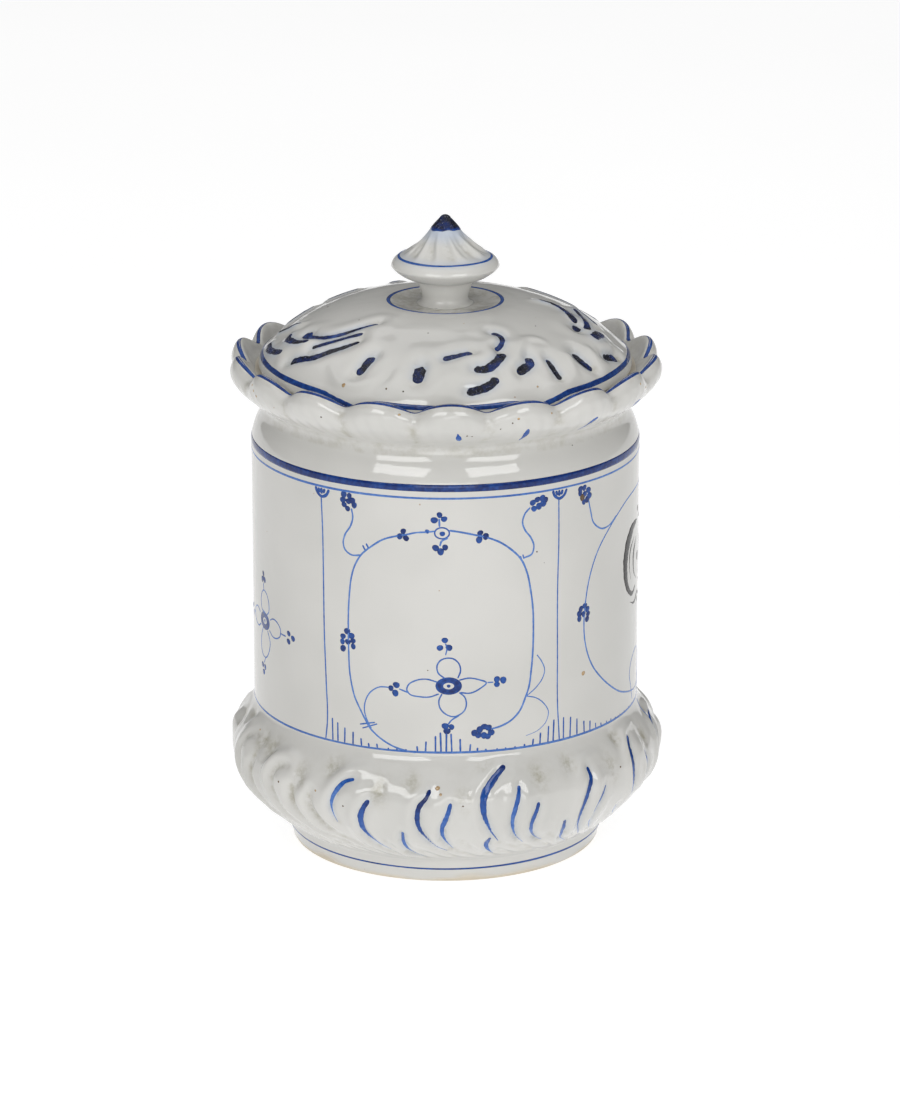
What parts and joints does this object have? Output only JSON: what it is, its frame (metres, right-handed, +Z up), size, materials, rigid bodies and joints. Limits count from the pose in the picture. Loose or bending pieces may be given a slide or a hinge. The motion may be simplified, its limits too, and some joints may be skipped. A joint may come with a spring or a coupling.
{
  "type": "apothecary jar",
  "caption": "White porcelain apothecary jar with a scalloped collar, a swelling base and a lift-off domed lid with a pointed knob, painted with blue flowers, panels and bands.",
  "frame": {"origin": "centre of the circle that the foot rests on", "axes": "+Z up along the jar's axis, -Y towards the front, where the panel with the scrolled frame is"},
  "size_m": [0.1398, 0.1398, 0.207],
  "materials": {
    "jar_porcelain": "clear glaze over slightly warm grey-white porcelain",
    "lid_porcelain": "clear glaze over slightly warm grey-white porcelain, with dirt in the hollows",
    "knob_porcelain": "clear glaze over slightly warm grey-white porcelain",
    "cobalt_blue": "cobalt brushwork under the glaze, nearly black where it is thick",
    "bare_porcelain": "unglazed, slightly toasted foot edge"
  },
  "bodies": {
    "jar": {"jar_body": "jar_porcelain"},
    "lid": {"lid": "lid_porcelain", "lid_knob": "knob_porcelain"}
  },
  "joints": [
    {"name": "lid_lift", "type": "slide", "parent": "jar", "child": "lid", "axis": [0, 0, 1], "range_m": [0, 0.1]}
  ]
}
